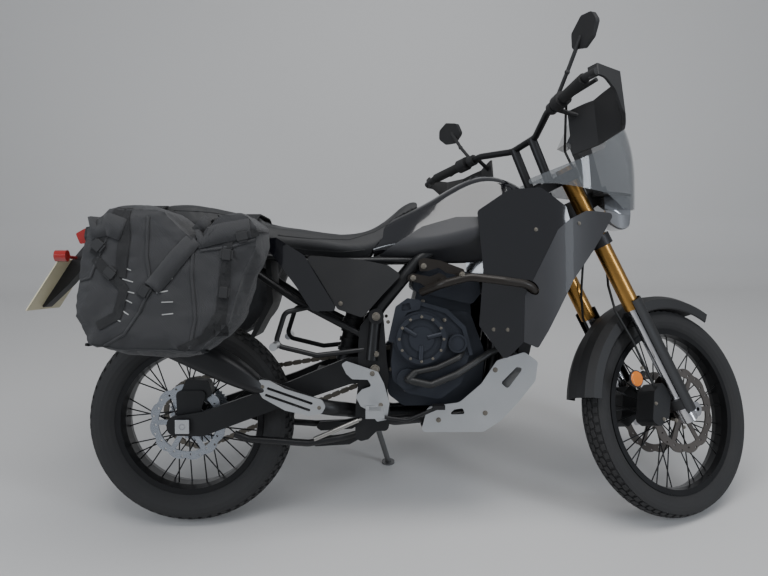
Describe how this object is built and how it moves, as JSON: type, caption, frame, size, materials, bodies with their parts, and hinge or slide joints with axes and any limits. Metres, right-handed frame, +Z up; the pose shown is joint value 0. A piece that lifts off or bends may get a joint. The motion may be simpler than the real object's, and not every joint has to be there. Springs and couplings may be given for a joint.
{
  "type": "adventure motorcycle",
  "caption": "Adventure motorcycle with soft panniers, leaning on its side stand; steering, wheels and stands move.",
  "frame": {"origin": "on the floor, under the middle of the parked machine's bounding box", "axes": "+X the way it faces, +Y to the rider's left, +Z up; it leans to +Y on its side stand"},
  "size_m": [2.3984, 1.0357, 1.579],
  "materials": {
    "cast_alloy_dark": "dark satin cast alloy",
    "gold_anodised": "gold anodised tube",
    "polished_steel": "polished",
    "black_metal": "satin black",
    "black_rubber": "matte",
    "black_plastic": "fine grained",
    "tyre_rubber": "matte",
    "black_rim": "black anodised",
    "disc_dark": "darkened by heat",
    "hose_rubber": "satin",
    "disc_steel": "brushed",
    "black_frame": "satin black powder coat",
    "chain_steel": "oiled",
    "engine_coating": "dark blue-grey satin",
    "gloss_black": "gloss lacquer",
    "satin_alloy": "satin",
    "crash_bar_coating": "satin powder coat",
    "matte_grey": "matte",
    "seat_vinyl": "grained vinyl",
    "screen_glass": "dark glass",
    "smoked_screen": "smoked clear",
    "lamp_glass": "clear lens over dark reflector",
    "plate_cream": "blank reflective",
    "lamp_red": "clear red",
    "bag_fabric": "coated woven",
    "webbing": "webbing",
    "stand_coating": "grey paint",
    "spring_steel": "bare"
  },
  "bodies": {
    "chassis": {"frame": "black_frame", "swingarm": "black_frame", "chain": "chain_steel", "rear_axle": "polished_steel", "coolant_hoses": "hose_rubber", "engine": "engine_coating", "fuel_tank": "gloss_black", "rear_shock": "black_metal", "rear_caliper": "black_metal", "radiator": "black_metal", "exhaust": "black_metal", "exhaust_shield": "satin_alloy", "skid_plate": "satin_alloy", "crash_bars": "crash_bar_coating", "knee_panels": "matte_grey", "rider_seat": "seat_vinyl", "pillion_seat": "seat_vinyl", "side_panels": "gloss_black", "side_covers": "black_plastic", "shrouds": "gloss_black", "side_fairings": "matte_grey", "display": "screen_glass", "nacelle": "black_plastic", "windscreen": "smoked_screen", "headlight": "lamp_glass", "tail_unit": "black_plastic", "number_plate": "plate_cream", "rear_lamps": "lamp_red", "pannier_right": "bag_fabric", "pannier_left": "bag_fabric", "pannier_straps": "webbing", "heel_plates": "satin_alloy", "footpegs": "satin_alloy", "foot_levers": "black_metal", "stand_spring": "spring_steel"},
    "steering": {"fork_clamps": "cast_alloy_dark", "fork_tubes": "gold_anodised", "fork_sliders": "polished_steel", "front_axle": "polished_steel", "handlebar": "black_metal", "grips": "black_rubber", "controls": "black_plastic", "handguards": "black_plastic", "mirrors": "black_plastic", "front_mudguard": "black_plastic", "fork_guards": "black_plastic", "front_calipers": "black_metal", "brake_hoses": "hose_rubber"},
    "front_wheel": {"front_tyre": "tyre_rubber", "front_rim": "black_rim", "front_discs": "disc_dark"},
    "rear_wheel": {"rear_tyre": "tyre_rubber", "rear_rim": "black_rim", "rear_disc": "disc_steel", "rear_sprocket": "disc_steel"},
    "side_stand": {"side_stand": "stand_coating"},
    "centre_stand": {"centre_stand": "black_frame"},
    "fuel_cap": {"fuel_cap": "black_metal"}
  },
  "joints": [
    {"name": "steering_turn", "type": "hinge", "parent": "chassis", "child": "steering", "pos_m": [0.49382, 0.01933, 0.9466], "axis": [-0.4491, 0.2207, 0.8658], "range_deg": [-56, 0]},
    {"name": "front_wheel_spin", "type": "hinge", "parent": "steering", "child": "front_wheel", "pos_m": [0.87804, -0.10908, 0.3208], "axis": [-0.4195, 0.8035, -0.4224], "continuous": true},
    {"name": "rear_wheel_spin", "type": "hinge", "parent": "chassis", "child": "rear_wheel", "pos_m": [-0.7103, -0.13876, 0.32638], "axis": [0, 0.969, -0.247], "continuous": true},
    {"name": "side_stand_fold", "type": "hinge", "parent": "chassis", "child": "side_stand", "pos_m": [-0.12626, -0.00276, 0.2972], "axis": [0.0024, 0.9801, 0.1984], "range_deg": [0, 94]},
    {"name": "centre_stand_swing", "type": "hinge", "parent": "chassis", "child": "centre_stand", "pos_m": [-0.15046, -0.14631, 0.29677], "axis": [0, -0.969, 0.247], "range_deg": [0, 80]},
    {"name": "fuel_cap_lid", "type": "hinge", "parent": "chassis", "child": "fuel_cap", "pos_m": [0.28399, 0.05515, 1.08714], "axis": [0, 0.969, -0.247], "range_deg": [0, 95]}
  ]
}
